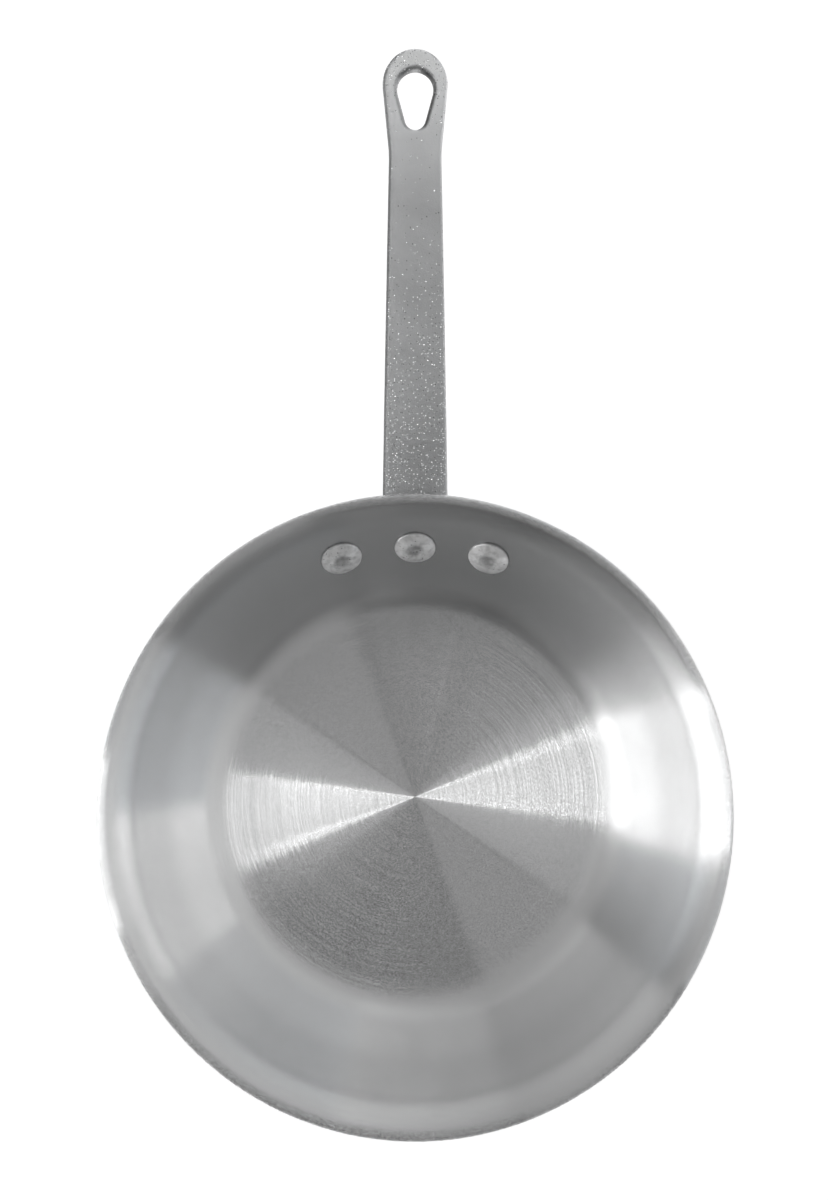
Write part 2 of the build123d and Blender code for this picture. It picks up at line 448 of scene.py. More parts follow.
        leftwards = desk.math("MULTIPLY", self.y, -1.0)
        ring_way = desk.add("ShaderNodeCombineXYZ", {0: leftwards, 1: self.x}).outputs[0]
        ring_way = desk.vector("NORMALIZE", ring_way)
        normal = desk.add("ShaderNodeNewGeometry").outputs["Normal"]
        across = desk.vector("CROSS_PRODUCT", ring_way, normal)
        fray = desk.math("MULTIPLY", self.noise(self.frayed), given["Fray"])
        lean = desk.scaled(ring_way, desk.math("MULTIPLY", fray, self.on_floor))
        facing = desk.vector("ADD", normal, desk.scaled(across, slope))
        facing = desk.vector("NORMALIZE", desk.vector("ADD", facing, lean))
        desk.add("NodeGroupOutput", {0: facing, 1: ring_way, 2: self.marks(), 3: spread})
        return self.tree


@dataclass(frozen=True)
class Grain:
    """Fine cast or worn grain, the same in every direction."""

    inputs: tuple[str, ...] = (
        "Grains per metre",
        "Specks per metre",
        "Clouds per metre",
        "Speck Share",
    )
    outputs: tuple[str, ...] = ("Height", "Specks", "Clouds", "Pits", "Lean Direction")
    octaves: float = 3.0
    grain_roughness: float = 0.6
    cloud_roughness: float = 0.55
    dot_reach: tuple[float, float] = (0.26, 0.44)
    dot_rim: float = 0.45
    dot_height: float = 0.8
    lean_gain: float = 2.0

    def build(self) -> bpy.types.NodeTree:
        """Make the group.

        Returns:
            A group that gives a height, masks of bright specks, soft clouds and dark pits,
            and the way in which each speck leans.
        """
        tree = new_group("Grain", self.inputs, self.outputs)
        desk = NodeDesk(tree)
        given = desk.add("NodeGroupInput").outputs
        place = desk.add("ShaderNodeTexCoord").outputs["Object"]
        fine = desk.noise(place, given["Grains per metre"], self.octaves, self.grain_roughness)
        voronoi = {"Vector": place, "Scale": given["Specks per metre"]}
        cells = desk.add("ShaderNodeTexVoronoi", voronoi).outputs
        pick = desk.add("ShaderNodeSeparateXYZ", {0: cells["Color"]}).outputs
        reach = desk.span(pick[1], 0.0, 1.0, *self.dot_reach)
        inside = desk.math("SUBTRACT", 1.0, desk.math("DIVIDE", cells["Distance"], reach))
        dot = desk.span(inside, 0.0, self.dot_rim, 0.0, 1.0)
        chosen = desk.math("LESS_THAN", pick[0], given["Speck Share"])
        specks = desk.math("MULTIPLY", dot, chosen)
        pitted = desk.math("LESS_THAN", pick[2], given["Speck Share"])
        free = desk.math("SUBTRACT", 1.0, chosen)
        pits = desk.math("MULTIPLY", dot, desk.math("MULTIPLY", pitted, free))
        clouds = desk.noise(place, given["Clouds per metre"], self.octaves, self.cloud_roughness)
        bumps = desk.math("SUBTRACT", specks, pits)
        height = desk.math("ADD", fine, desk.math("MULTIPLY", bumps, self.dot_height))
        aside = desk.vector("SUBTRACT", cells["Color"], (0.5, 0.5, 0.5))
        lean = desk.scaled(aside, desk.math("MULTIPLY", specks, self.lean_gain))
        desk.add("NodeGroupOutput", {0: height, 1: specks, 2: clouds, 3: pits, 4: lean})
        return tree


@dataclass(frozen=True)
class SpunAluminium:
    """Bare sheet turned on a lathe: long fine rings and a stretched shine.

    The outside, where it faces down, gets painted shade: its colour is darker there.
    """

    base: float = 0.78
    warmth: float = -0.004
    floor_roughness: float = 0.12
    wall_roughness: float = 0.26
    stretch: float = 1.0
    quarter_turn: float = 0.25
    fine_slope: float = 3.3
    coarse_slope: float = 0.10
    fray: float = 0.03
    floor_edge: float = 0.0850
    ring_pitch: float = 0.0021
    wall_share: float = 0.12
    wall_slope: float = 0.35
    corner_ease: float = 0.20
    flare_ease: float = 0.12
    groove_lean: float = 0.09
    ring_contrast: float = 0.25
    downward_shade_facing: tuple[float, float] = (-0.35, -0.05)
    downward_painted_shade: float = 0.72

    def material(self, turning: bpy.types.NodeTree) -> bpy.types.Material:
        """Build the material.

        Args:
            turning: The shared group of turning rings.

        Returns:
            The finished material.
        """
        material = bpy.data.materials.new("spun_aluminium")
        material.use_nodes = True
        desk = NodeDesk(material.node_tree)
        values = {
            "Fine Slope": self.fine_slope,
            "Coarse Slope": self.coarse_slope,
            "Fray": self.fray,
            "Floor Edge": self.floor_edge,
            "Ring Pitch": self.ring_pitch,
            "Wall Share": self.wall_share,
            "Wall Slope": self.wall_slope,
            "Corner Ease": self.corner_ease,
            "Flare Ease": self.flare_ease,
            "Groove Lean": self.groove_lean,
        }
        rings = desk.add("ShaderNodeGroup", node_tree=turning)
        for label, value in values.items():
            rings.inputs[label].default_value = value
        low = grey(self.base * (1 - self.ring_contrast), self.warmth)
        high = grey(self.base * (1 + self.ring_contrast), self.warmth)
        colour = desk.ramp(rings.outputs["Rings"], [(0.0, low), (1.0, high)])
        facing = desk.add("ShaderNodeTexCoord").outputs["Normal"]
        upwards = desk.add("ShaderNodeSeparateXYZ", {0: facing}).outputs[2]
        # painted shade: the colour is darkened where the surface faces down
        downward_shade = desk.span(upwards, *self.downward_shade_facing, self.downward_painted_shade, 1.0)
        floor = rings.outputs["Floor"]
        shader = desk.add(
            "ShaderNodeBsdfPrincipled",
            {
                "Base Color": desk.scaled(colour, downward_shade),
                "Metallic": 1.0,
                "Roughness": desk.span(floor, 0.0, 1.0, self.wall_roughness, self.floor_roughness),
                "Anisotropic": self.stretch,
                "Anisotropic Rotation": self.quarter_turn,
                "Tangent": rings.outputs["Groove Direction"],
                "Normal": rings.outputs["Normal Direction"],
            },
        )
        desk.add("ShaderNodeOutputMaterial", {0: shader.outputs[0]})
        return material


@dataclass(frozen=True, kw_only=True)
class GrainyAluminium:
    """Aluminium with a fine grain, specks and soft clouds. The specks are raised and polished, and
    their colour is brightened as a painted glint.

    Grains, specks and clouds are counts per metre, and the grain's depth is in metres.
    """

    name: str
    base: float
    warmth: float
    roughness: float
    grain_depth: float
    grains: float
    specks: float
    clouds: float
    cloud_contrast: float
    speck_painted_glint: float
    speck_share: float
    pit_tone: float
    metallic: float
    glitter: float
    cloud_range: tuple[float, float] = (0.35, 0.65)
    speck_polish: float = 0.4

    def share(self, desk: NodeDesk) -> object:
        """Share of the cells that shine as specks, a number or a socket."""
        return self.speck_share

    def painted_light_factor(self, desk: NodeDesk) -> object:
        """Factor of painted light and shade on the metal's brightness, a number or a socket."""
        return 1.0

    def material(self, grain: bpy.types.NodeTree) -> bpy.types.Material:
        """Build the material.

        Args:
            grain: The shared group of grain.

        Returns:
            The finished material.
        """
        material = bpy.data.materials.new(self.name)
        material.use_nodes = True
        desk = NodeDesk(material.node_tree)
        values = {
            "Grains per metre": self.grains,
            "Specks per metre": self.specks,
            "Clouds per metre": self.clouds,
            "Speck Share": self.share(desk),
        }
        grains = desk.add("ShaderNodeGroup", node_tree=grain)
        for label, value in values.items():
            desk.feed(grains.inputs[label], value)
        grains = grains.outputs
        light, dark = 1 + self.cloud_contrast, 1 - self.cloud_contrast
        cloudy = desk.span(grains["Clouds"], *self.cloud_range, dark, light)
        # painted glint: the specks' colour is brightened as if they caught the light; their bump and
        # polish are real
        glint = desk.span(grains["Specks"], 0.0, 1.0, 1.0, self.speck_painted_glint)
        dull = desk.span(grains["Pits"], 0.0, 1.0, 1.0, self.pit_tone)
        marks = desk.math("MULTIPLY", glint, dull)
        # the factor of painted light and shade goes into the colour here
        level = desk.math("MULTIPLY", desk.math("MULTIPLY", cloudy, marks), self.painted_light_factor(desk))
        level = desk.math("MINIMUM", desk.math("MULTIPLY", level, self.base), 1.0)
        polished = self.roughness * self.speck_polish
        bump = desk.add("ShaderNodeBump", {"Height": grains["Height"], "Distance": self.grain_depth})
        lean = desk.scaled(grains["Lean Direction"], self.glitter)
        shader = desk.add(
            "ShaderNodeBsdfPrincipled",
            {
                "Base Color": desk.scaled(grey(1.0, self.warmth)[:3], level),
                "Metallic": self.metallic,
                "Roughness": desk.span(grains["Specks"], 0.0, 1.0, self.roughness, polished),
                "Normal": desk.vector("NORMALIZE", desk.vector("ADD", bump.outputs[0], lean)),
            },
        )
        desk.add("ShaderNodeOutputMaterial", {0: shader.outputs[0]})
        return material


@dataclass(frozen=True, kw_only=True)
class CastAluminium(GrainyAluminium):
    """Cast handle: rough and speckled near the bowl, smoother at the eye, where a painted sheen makes
    its colour paler.

    Places are along the handle, or out from its middle, in metres. A facing is a range
    of the normal's part across or along the handle, which picks faces for painted shade.
    """

    name: str = "cast_aluminium"
    base: float = 0.64
    warmth: float = -0.008
    roughness: float = 0.46
    grain_depth: float = 0.00010
    grains: float = 1500.0
    specks: float = 1150.0
    clouds: float = 45.0
    cloud_contrast: float = 0.05
    speck_painted_glint: float = 2.4
    speck_share: float = 0.03
    pit_tone: float = 0.45
    metallic: float = 1.0
    glitter: float = 1.2

    root: float = 0.128
    smooth_from: float = 0.235
    eye_sheen_from: float = 0.242
    hole_from: float = 0.267
    tip: float = 0.304
    edge: float = 0.0100
    hole_side: float = 0.0080
    side_fade: float = 0.001
    hole_fade: float = 0.002
    root_share: float = 0.60
    edge_share: float = 0.45
    eye_share: float = 0.45
    eye_edge_share: float = 0.1
    left_shade_facing: tuple[float, float] = (-0.50, -0.06)
    right_shade_facing: tuple[float, float] = (0.05, 0.40)
    bore_shade_facing: tuple[float, float] = (-0.75, -0.30)
    rim_shade_facing: tuple[float, float] = (0.10, 0.40)
    tip_painted_sheen: float = 1.75
    left_painted_shade: float = 0.26
    right_painted_shade: float = 0.80
    bore_painted_shade: float = 0.45
    hole_rim_painted_shade: float = 0.66

    def share(self, desk: NodeDesk) -> object:
        """Share of specks, high near the bowl, at the eye and along both edges.

        Args:
            desk: The material's desk.

        Returns:
            The share's socket.
        """
        place = desk.add("ShaderNodeTexCoord").outputs["Object"]
        place = desk.add("ShaderNodeSeparateXYZ", {0: place}).outputs
        along = place[1]
        rough = desk.span(along, self.root, self.smooth_from, self.root_share, self.speck_share)
        side = desk.math("ABSOLUTE", place[0])
        edge = desk.span(side, self.edge, self.edge + self.side_fade, 0.0, self.edge_share)
        near = desk.span(along, self.smooth_from, self.eye_sheen_from, 1.0, self.eye_edge_share)
        eye = desk.span(along, self.hole_from, self.tip, 0.0, self.eye_share)
        return desk.math("ADD", desk.math("ADD", rough, eye), desk.math("MULTIPLY", edge, near))

    def painted_light_factor(self, desk: NodeDesk) -> object:
        """Painted sheen at the eye, and painted shade on sideways faces, on faces turned towards the
        bowl and round the edge of the hole.

        Args:
            desk: The material's desk.

        Returns:
            The factor's socket.
        """
        place = desk.add("ShaderNodeTexCoord").outputs
        parts = desk.add("ShaderNodeSeparateXYZ", {0: place["Object"]}).outputs
        facing = desk.add("ShaderNodeSeparateXYZ", {0: place["Normal"]}).outputs
        # painted sheen: the colour grows paler towards the eye, where the handle flattens and catches
        # more light
        eye_sheen = desk.span(parts[1], self.eye_sheen_from, self.tip, 1.0, self.tip_painted_sheen)
        # painted shade: darker on faces turned left, and a little darker on faces turned right
        left = desk.span(facing[0], *self.left_shade_facing, self.left_painted_shade, 1.0)
        right = desk.span(facing[0], *self.right_shade_facing, 1.0, self.right_painted_shade)
        # painted shade: darker on faces turned towards the bowl, such as the far wall of the hole
        bore_shade = desk.span(facing[1], *self.bore_shade_facing, self.bore_painted_shade, 1.0)
        # painted shade: darker round the edge of the hole, where the surface leans sideways
        aside = desk.math("ABSOLUTE", parts[0])
        beside = desk.span(aside, self.hole_side, self.hole_side + self.side_fade, 1.0, 0.0)
        beyond = desk.span(parts[1], self.hole_from, self.hole_from + self.hole_fade, 0.0, 1.0)
        leaning = desk.span(desk.math("ABSOLUTE", facing[0]), *self.rim_shade_facing, 0.0, 1.0)
        rim = desk.math("MULTIPLY", desk.math("MULTIPLY", beside, beyond), leaning)
        rim = desk.span(rim, 0.0, 1.0, 1.0, self.hole_rim_painted_shade)
        shade = desk.math("MULTIPLY", eye_sheen, desk.math("MULTIPLY", left, right))
        return desk.math("MULTIPLY", desk.math("MULTIPLY", shade, bore_shade), rim)


@dataclass(frozen=True, kw_only=True)
class RivetAluminium(GrainyAluminium):
    """Set rivet head with painted shade: darker in its dimple and where the head meets the wall.

    The centre and the axis are the rivet's own, and the dimple and the foot are ranges
    out from that axis, in metres.
    """

    centre: Vector
    axis: Vector
    base: float = 0.95
    warmth: float = 0.0
    roughness: float = 0.22
    grain_depth: float = 0.00006
    grains: float = 1900.0
    specks: float = 900.0
    clouds: float = 360.0
    cloud_contrast: float = 0.20
    speck_painted_glint: float = 1.15
    speck_share: float = 0.10
    pit_tone: float = 0.35
    metallic: float = 0.45
    glitter: float = 0.0
    dimple: tuple[float, float] = (0.0024, 0.0046)
    foot: tuple[float, float] = (0.0086, 0.0092)
    dimple_painted_shade: float = 0.55
    foot_painted_shade: float = 0.20

    def painted_light_factor(self, desk: NodeDesk) -> object:
        """Painted shade: darker in the dimple and where the head meets the wall.

        Args:
            desk: The material's desk.

        Returns:
            The factor's socket.
        """
        place = desk.add("ShaderNodeTexCoord").outputs["Object"]
        offset = desk.vector("SUBTRACT", place, self.centre)
        aside = desk.vector("CROSS_PRODUCT", offset, self.axis)
        away = desk.add("ShaderNodeVectorMath", {0: aside}, operation="LENGTH").outputs["Value"]
        # painted shade in the dimple and round the foot of the head
        dimple_shade = desk.span(away, *self.dimple, self.dimple_painted_shade, 1.0)
        foot = desk.span(away, *self.foot, 1.0, self.foot_painted_shade)
        return desk.math("MULTIPLY", dimple_shade, foot)


@dataclass
class Bowl:
    """Spun bowl with sloping wall and flared lip, all of one sheet."""

    node: str = "pan_body"
    sheet: float = 3.2 * MM
    wall_slope: float = math.radians(56)
    lip_slope: float = math.radians(12)
    corner_radius: float = 22.0 * MM
    flare_radius: float = 16.4 * MM
    steps: int = 288
    bend_steps: int = 18
    wall_steps: int = 18
    lip_steps: int = 12
    floor_steps: int = 10
    hole_radius: float = 3.3 * MM
    hole_sides: int = 48
    rivet_drop: float = 12.5 * MM
    rivet_spread: float = math.radians(17)
    rivet_count: int = 3
    overrun: float = 10.0 * MM
    merge: float = 0.005 * MM
    sharp: float = math.radians(35)

    def __post_init__(self) -> None:
        """Take the rim and the height from the frame, and the rest from them."""
        low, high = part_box(self.node)
        self.rim_radius = (high.y - low.y) / 2
        self.height = high.z
        half = self.sheet / 2
        slope, lip = self.wall_slope, self.lip_slope
        corner_rise = self.corner_radius * (1 - math.cos(slope))
        flare_rise = self.flare_radius * (math.cos(lip) - math.cos(slope))
        wall = (self.height - self.sheet - corner_rise - flare_rise) / math.sin(slope)
        lip_middle = (self.rim_radius - half, self.height - half)
        self.flare_centre = (
            lip_middle[0] + self.flare_radius * math.sin(lip),
            lip_middle[1] - self.flare_radius * math.cos(lip),
        )
        self.wall_top = self.on_bend(self.flare_centre, self.flare_radius, slope)
        wall_foot = (
            self.wall_top[0] - wall * math.cos(slope),
            self.wall_top[1] - wall * math.sin(slope),
        )
        self.corner_centre = (
            wall_foot[0] - self.corner_radius * math.sin(slope),
            wall_foot[1] + self.corner_radius * math.cos(slope),
        )
        self.lip_middle = lip_middle

    @staticmethod
    def on_bend(centre: tuple, radius: float, slope: float) -> tuple[float, float]:
        """Point of a bend, as radius and height, where the skin rises at a slope."""
        return centre[0] - radius * math.sin(slope), centre[1] + radius * math.cos(slope)

    def skin(self, offset: float) -> list[tuple[float, float]]:
        """Outline from the floor to the lip, a distance outside the middle of the sheet.

        Args:
            offset: Half a sheet for the outer skin, minus half a sheet for the inner.

        Returns:
            Points as radius and height.
        """
        points = []
        for step in range(self.bend_steps + 1):
            slope = self.wall_slope * step / self.bend_steps
            points.append(self.on_bend(self.corner_centre, -self.corner_radius - offset, slope))
        start = points[-1]
        end = self.on_bend(self.flare_centre, self.flare_radius - offset, self.wall_slope)
        for step in range(1, self.wall_steps):
            share = step / self.wall_steps
            points.append(tuple(a + (b - a) * share for a, b in zip(start, end)))
        for step in range(self.bend_steps + 1):
            slope = self.wall_slope + (self.lip_slope - self.wall_slope) * step / self.bend_steps
            points.append(self.on_bend(self.flare_centre, self.flare_radius - offset, slope))
        return points

    def outline(self) -> list[tuple[float, float]]:
        """Closed half section, from the middle of the base round to the middle of the floor.

        Returns:
            Points as radius and height.
        """
        half = self.sheet / 2
        outer = self.skin(half)
        inner = self.skin(-half)
        lip = []
        for step in range(1, self.lip_steps):
            turn = self.lip_slope + math.pi * (step / self.lip_steps - 1 / 2)
            lip.append(
                (
                    self.lip_middle[0] + half * math.cos(turn),
                    self.lip_middle[1] + half * math.sin(turn),
                )
            )
        edge = self.corner_centre[0]
        shares = [step / self.floor_steps for step in range(self.floor_steps)]
        base = [(edge * share, 0.0) for share in shares]
        floor = [(edge * share, self.sheet) for share in reversed(shares)]
        return base + outer + lip + inner[::-1] + floor

    def build(self) -> bpy.types.Object:
        """Draw the half section from one point and spin it about the Z axis.

        Returns:
            The bowl's object.
        """
        points = self.outline()
        deselect_all()
        bpy.ops.mesh.primitive_plane_add(size=self.sheet, location=(0, 0, 0))
        bowl = bpy.context.object
        bowl.name = "spun_bowl"
        bpy.ops.object.mode_set(mode="EDIT")
        bpy.ops.mesh.select_all(action="SELECT")
        bpy.ops.mesh.merge(type="CENTER")
        last = points[0]
        for point in points[1:]:
            step = (point[0] - last[0], 0.0, point[1] - last[1])
            bpy.ops.mesh.extrude_region_move(TRANSFORM_OT_translate={"value": step})
            last = point
        bpy.ops.mesh.select_all(action="SELECT")
        bpy.ops.mesh.spin(
            steps=self.steps, angle=math.tau, axis=(0, 0, 1), center=(0, 0, 0), dupli=False
        )
        bpy.ops.mesh.select_all(action="SELECT")
        bpy.ops.mesh.remove_doubles(threshold=self.merge)
        bpy.ops.mesh.normals_make_consistent(inside=False)
        bpy.ops.object.mode_set(mode="OBJECT")
        for angle in self.rivet_angles():
            self.drill(bowl, angle)
        settle(bowl, Shading.BY_ANGLE, self.sharp)
        return bowl

    def rivet_angles(self) -> list[float]:
        """Angle of each rivet about the bowl, in radians, from left to right."""
        middle = (self.rivet_count - 1) / 2
        return [self.rivet_spread * (middle - number) for number in range(self.rivet_count)]

    def rivet_stand(self, angle: float) -> Matrix:
        """Place on the middle of the sheet at a rivet, its +Z square out of the bowl.

        Args:
            angle: The rivet's angle about the bowl.

        Returns:
            The place as a matrix.
        """
        radial = self.wall_top[0] - self.rivet_drop * math.cos(self.wall_slope)
        level = self.wall_top[1] - self.rivet_drop * math.sin(self.wall_slope)
        place = Matrix.Translation((0, radial, level))
        lean = Matrix.Rotation(self.wall_slope - math.pi, 4, "X")
        return Matrix.Rotation(angle, 4, "Z") @ place @ lean

    def drill(self, bowl: bpy.types.Object, angle: float) -> None:
        """Cut one rivet hole square through the wall.

        Args:
            bowl: The bowl's object.
            angle: The rivet's angle about the bowl.
        """
        deselect_all()
        bpy.ops.mesh.primitive_cylinder_add(
            vertices=self.hole_sides, radius=self.hole_radius, depth=self.overrun * 2
        )
        cutter = bpy.context.object
        cutter.matrix_world = self.rivet_stand(angle)
        bpy.context.view_layer.update()
        apply_modifier(bowl, "BOOLEAN", operation="DIFFERENCE", object=cutter, solver="EXACT")
        bpy.data.objects.remove(cutter)


@dataclass
class FramePiece:
    """Piece that starts as a copy of its node and gets the soft edges of metal."""

    node: str
    name: str
    voxel: float
    smooth_rounds: int
    swell: float
    swell_size: float
    swell_octaves: int = 2
    swell_middle: float = 0.5
    smooth_factor: float = 0.5
    merge: float = 0.001 * MM

    def build(self) -> bpy.types.Object:
        """Copy the node, remesh it evenly, soften its corners and roughen its skin.

        Returns:
            The piece's object.
        """
        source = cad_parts[self.node]
        piece = bpy.data.objects.new(self.name, source.data.copy())
        bpy.context.scene.collection.objects.link(piece)
        make_active(piece)
        bpy.ops.object.mode_set(mode="EDIT")
        bpy.ops.mesh.select_all(action="SELECT")
        bpy.ops.mesh.remove_doubles(threshold=self.merge)
        bpy.ops.object.mode_set(mode="OBJECT")
        apply_modifier(piece, "REMESH", mode="VOXEL", voxel_size=self.voxel)
        apply_modifier(piece, "SMOOTH", factor=self.smooth_factor, iterations=self.smooth_rounds)
        unevenness = bpy.data.textures.new(self.name + "_skin", "CLOUDS")
        unevenness.noise_scale = self.swell_size
        unevenness.noise_depth = self.swell_octaves
        apply_modifier(
            piece,
            "DISPLACE",
            texture=unevenness,
            texture_coords="LOCAL",
            strength=self.swell,
            mid_level=self.swell_middle,
        )
        settle(piece, Shading.SMOOTH)
        return piece


@dataclass
class PhotoCamera:
    """Camera that stands where the photograph's stood."""

    focal_pixels: float = 1006.6
    film: float = 36.0
    place: Vector = field(default_factory=lambda: Vector((-0.0005, 0.03786, 0.46726)))
    tilt: float = math.radians(6.4)
    nearest: float = 0.01

    def build(self) -> bpy.types.Object:
        """Add the camera and make it the scene's own.

        Returns:
            The camera's object.
        """
        data = bpy.data.cameras.new("photo_camera")
        data.sensor_fit = "AUTO"
        data.sensor_width = self.film
        data.lens = self.focal_pixels / PHOTO_HEIGHT * self.film
        data.clip_start = self.nearest
        camera = bpy.data.objects.new("photo_camera", data)
        bpy.context.scene.collection.objects.link(camera)
        camera.location = self.place
        camera.rotation_euler = (self.tilt, 0.0, 0.0)
        bpy.context.scene.camera = camera
        return camera


@dataclass(frozen=True)
class Panel:
    """Upright strip of the room's wall, lit evenly, or shading off to a last strength.

    It starts at an azimuth in degrees and reaches to the next panel.
    """

    start: float
    first: float
    last: float | None = None
    warmth: float = 0.0

    def ends(self) -> tuple[float, float]:
        """Strength at its start and at its end."""
        return self.first, self.first if self.last is None else self.last


@dataclass(frozen=True)
class Tier:
    """Ring of panels round the room, from one height upwards.

    The height is the upward part of the direction to it, from -1 to 1.
    """

    bottom: float
    panels: tuple[Panel, ...]


@dataclass(frozen=True)
class StudioRoom:
    """Surroundings that the metal mirrors: rings of panels round the pan, and a ceiling.

    The panels' edges and strengths are tuned to the reflections in the photograph.
    """

    low: Tier = Tier(
        -1.0,
        (
            Panel(1.5, 0.02),
            Panel(75.0, 0.2),
            Panel(108.0, 0.35, 0.55),
            Panel(144.0, 0.9, 1.5, warmth=-0.05),
            Panel(169.0, 0.65),
            Panel(174.5, 0.5, 0.1),
            Panel(202.5, 1.4, 1.0),
            Panel(219.0, 0.85, 0.55),
            Panel(250.0, 0.4),
            Panel(273.0, 0.25),
            Panel(284.0, 0.4, warmth=-0.05),
            Panel(326.5, 0.02),
        ),
    )
    sill: Tier = Tier(
        0.12,
        (
            Panel(1.5, 3.2, 1.8),
            Panel(21.0, 1.9),
            Panel(34.5, 0.8, 1.4, warmth=-0.03),
            Panel(75.0, 1.4, 0.85),
            Panel(108.0, 0.5, 0.65),
            Panel(144.0, 0.05, 1.5, warmth=-0.03),
            Panel(169.0, 4.6),
            Panel(174.5, 4.0, 4.5),
            Panel(202.5, 1.8, 0.5),
            Panel(219.0, 0.2, 0.02),
            Panel(250.0, 0.05),
            Panel(326.5, 1.0, 1.6, warmth=-0.05),
        ),
    )
    middle: Tier = Tier(
        0.30,
        (
            Panel(0.0, 0.6, 0.5),
            Panel(34.5, 0.3, 0.4),
            Panel(75.0, 0.3, 0.5),
            Panel(108.0, 0.5, 0.55),
            Panel(144.0, 0.25, 0.15),
            Panel(169.0, 0.02),
            Panel(174.5, 0.9, 0.6),
            Panel(202.5, 0.75, 0.05),
            Panel(219.0, 0.2, 0.15),
            Panel(273.0, 0.25),
            Panel(284.0, 0.1, 0.15),
            Panel(326.5, 0.35),
        ),
    )
    high: Tier = Tier(
        0.55,
        (
            Panel(0.0, 0.55, 0.75),
            Panel(21.0, 0.5),
            Panel(34.5, 0.75, 0.6),
            Panel(75.0, 0.9, 0.4),
            Panel(108.0, 0.35, 0.55),
            Panel(144.0, 0.25, 0.8),
            Panel(169.0, 1.2),
            Panel(172.0, 4.5),
            Panel(174.5, 3.0, 1.5),
            Panel(198.0, 3.8),
            Panel(202.5, 0.9, 0.5),
            Panel(219.0, 0.35, 0.05),
            Panel(250.0, 0.1, 0.25),
            Panel(291.0, 0.3, 0.1),
            Panel(326.5, 0.45, 0.8),
        ),
    )
    top: Tier = Tier(
        0.80,
        (
            Panel(0.0, 0.75),
            Panel(34.5, 0.5),
            Panel(75.0, 0.4),
            Panel(171.5, 1.4),
            Panel(202.5, 0.05),
            Panel(291.0, 0.35),
            Panel(326.5, 0.6),
        ),
    )
    ceiling: Tier = Tier(0.985, (Panel(0.0, 0.35),))
    seam: float = 0.8
    ledge: float = 0.01
    centre_shift: float = 0.083

    def ring(self, desk: NodeDesk, round_about: object, tier: Tier) -> object:
        """Colour of one tier.

        Args:
            desk: The tree's desk.
            round_about: The place round the room, from 0 to 1.
            tier: The tier.

        Returns:
            A colour, or the socket of one that changes round the room.
        """
        if len(tier.panels) == 1:
            return grey(tier.panels[0].first, tier.panels[0].warmth)
        return desk.ramp(round_about, self.stops(tier.panels))

    def stops(self, tier: tuple[Panel, ...]) -> list[tuple[float, tuple]]:
        """Colour stops round the room, with a narrow seam between panels.

        Args:
            tier: The panels of one tier, by the azimuth in degrees where each starts.

        Returns:
            Places from 0 to 1 and colours.
        """
        around = FULL_TURN
        half = self.seam / 2
        marks = []
        for panel, after in zip(tier, tier[1:] + tier[:1]):
            end = after.start if after.start > panel.start else after.start + around
            first, last = panel.ends()
            marks.append((panel.start + half, first, panel.warmth))
            marks.append((end - half, last, panel.warmth))
        marks = sorted((place % around, value, warmth) for place, value, warmth in marks)
        before, after = marks[-1], marks[0]
        share = (around - before[0]) / (after[0] + around - before[0])
        middle = before[1] + (after[1] - before[1]) * share
        marks = [(0.0, middle, after[2])] + marks + [(around, middle, before[2])]
        return [(place / around, grey(value, warmth)) for place, value, warmth in marks]

    def build(self) -> None:
        """Set the world: white behind the pan for the camera, studio walls for the metal."""
        world = bpy.data.worlds.new("studio")
        bpy.context.scene.world = world
        world.use_nodes = True
        desk = NodeDesk(world.node_tree)
        way = desk.add("ShaderNodeTexCoord").outputs["Generated"]
        turned = desk.add(
            "ShaderNodeMapping",
            {"Vector": way, "Rotation": (0, 0, math.pi), "Location": (0, -self.centre_shift, 0)},
        )
        round_about = desk.add(
            "ShaderNodeTexGradient", {"Vector": turned.outputs[0]}, gradient_type="RADIAL"
        ).outputs[1]
        rise = desk.add("ShaderNodeSeparateXYZ", {0: way}).outputs[2]
        colour = self.ring(desk, round_about, self.low)
        for tier in (self.sill, self.middle, self.high, self.top, self.ceiling):
            above = desk.span(rise, tier.bottom - self.ledge, tier.bottom + self.ledge, 0.0, 1.0)
            colour = self.blend(desk, above, colour, self.ring(desk, round_about, tier))
        room = desk.add("ShaderNodeBackground", {"Color": colour, "Strength": 1.0})
        white = desk.add("ShaderNodeBackground", {"Color": grey(1.0), "Strength": 1.0})
        rays = desk.add("ShaderNodeLightPath").outputs
        mix = desk.add("ShaderNodeMixShader", {0: rays["Is Camera Ray"]})
        desk.feed(mix.inputs[1], room.outputs[0])
        desk.feed(mix.inputs[2], white.outputs[0])
        desk.add("ShaderNodeOutputWorld", {0: mix.outputs[0]})

    @staticmethod
    def blend(desk: NodeDesk, factor: object, first: object, second: object) -> object:
        """Mix two colours.

        Args:
            desk: The tree's desk.
            factor: Share of the second colour.
            first: The colour at 0.
            second: The colour at 1.

        Returns:
            The mixed colour's socket.
        """
        mix = desk.add("ShaderNodeMix", data_type="RGBA")
        desk.feed(mix.inputs[0], factor)
        desk.feed(mix.inputs[6], first)
        desk.feed(mix.inputs[7], second)
        return mix.outputs[2]


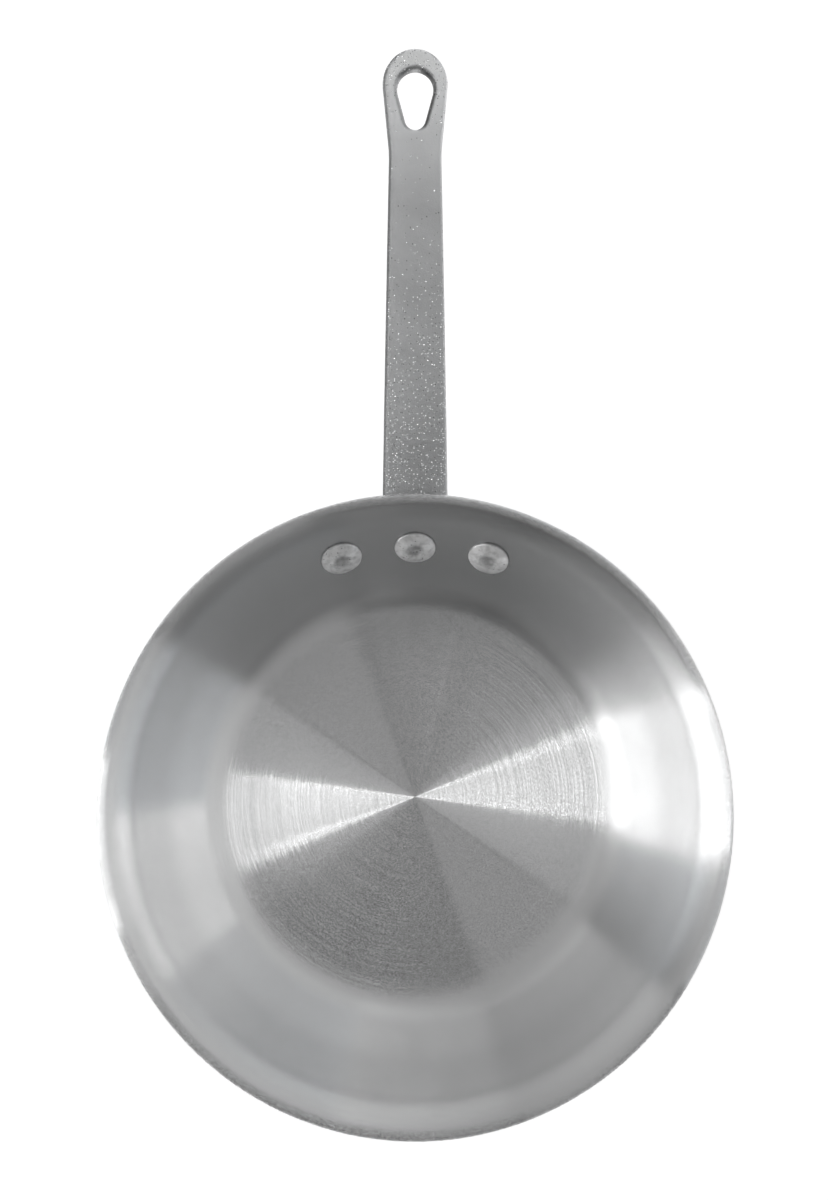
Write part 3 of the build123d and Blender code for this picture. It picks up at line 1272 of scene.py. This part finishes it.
@dataclass(frozen=True)
class StudioFloor:
    """Pale floor that glows up to white, in which the pan's soft shadow is lost."""

    size: float = 8.0
    glow: float = 0.80
    albedo: float = 0.5

    def build(self) -> bpy.types.Object:
        """Lay the floor.

        Returns:
            The floor's object.
        """
        deselect_all()
        bpy.ops.mesh.primitive_plane_add(size=self.size, location=(0, 0, 0))
        floor = bpy.context.object
        floor.name = "studio_floor"
        material = bpy.data.materials.new("studio_floor")
        material.use_nodes = True
        desk = NodeDesk(material.node_tree)
        diffuse = desk.add("ShaderNodeBsdfDiffuse", {"Color": grey(self.albedo)})
        light = desk.add("ShaderNodeEmission", {"Color": grey(1.0), "Strength": self.glow})
        both = desk.add("ShaderNodeAddShader")
        desk.feed(both.inputs[0], diffuse.outputs[0])
        desk.feed(both.inputs[1], light.outputs[0])
        rays = desk.add("ShaderNodeLightPath").outputs
        seen = desk.math("MAXIMUM", rays["Is Camera Ray"], rays["Is Glossy Ray"])
        seen = desk.math("MAXIMUM", seen, rays["Is Transmission Ray"])
        mix = desk.add("ShaderNodeMixShader", {0: seen})
        desk.feed(mix.inputs[1], diffuse.outputs[0])
        desk.feed(mix.inputs[2], both.outputs[0])
        desk.add("ShaderNodeOutputMaterial", {0: mix.outputs[0]})
        floor.data.materials.append(material)
        return floor


def dress(piece: bpy.types.Object, material: bpy.types.Material, node: str) -> None:
    """Give a piece its material and let it stand for its node.

    Args:
        piece: The finished piece.
        material: Its material.
        node: The node that it replaces.
    """
    piece.data.materials.clear()
    piece.data.materials.append(material)
    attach(piece, ROOT_BODY)
    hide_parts(node)
    log.info("%s: %d faces", piece.name, len(piece.data.polygons))


def build_pan() -> None:
    """Build and dress every piece of the pan."""
    grain = Grain().build()
    bowl = Bowl()
    spun = SpunAluminium().material(TurningRings().build())
    dress(bowl.build(), spun, bowl.node)

    handle = FramePiece(
        node="handle",
        name="cast_handle",
        voxel=0.55 * MM,
        smooth_rounds=6,
        swell=0.10 * MM,
        swell_size=2.5 * MM,
    )
    dress(handle.build(), CastAluminium().material(grain), handle.node)

    for side, angle in zip(("left", "centre", "right"), bowl.rivet_angles()):
        rivet = FramePiece(
            node=f"rivet_{side}",
            name=f"set_rivet_{side}",
            voxel=0.22 * MM,
            smooth_rounds=4,
            swell=0.22 * MM,
            swell_size=3.2 * MM,
        )
        stand = bowl.rivet_stand(angle)
        satin = RivetAluminium(
            name=f"rivet_{side}_aluminium",
            centre=stand.to_translation(),
            axis=stand.to_3x3().col[2].copy(),
        )
        dress(rivet.build(), satin.material(grain), rivet.node)


def build_studio() -> None:
    """Set up the floor, the room and the camera."""
    StudioFloor().build()
    StudioRoom().build()
    PhotoCamera().build()
    bpy.context.scene.view_settings.view_transform = "Standard"


def main() -> None:
    """Build the pan and its studio."""
    logging.basicConfig(level=logging.INFO, format="%(message)s")
    build_pan()
    build_studio()


if __name__ == "__main__":
    main()
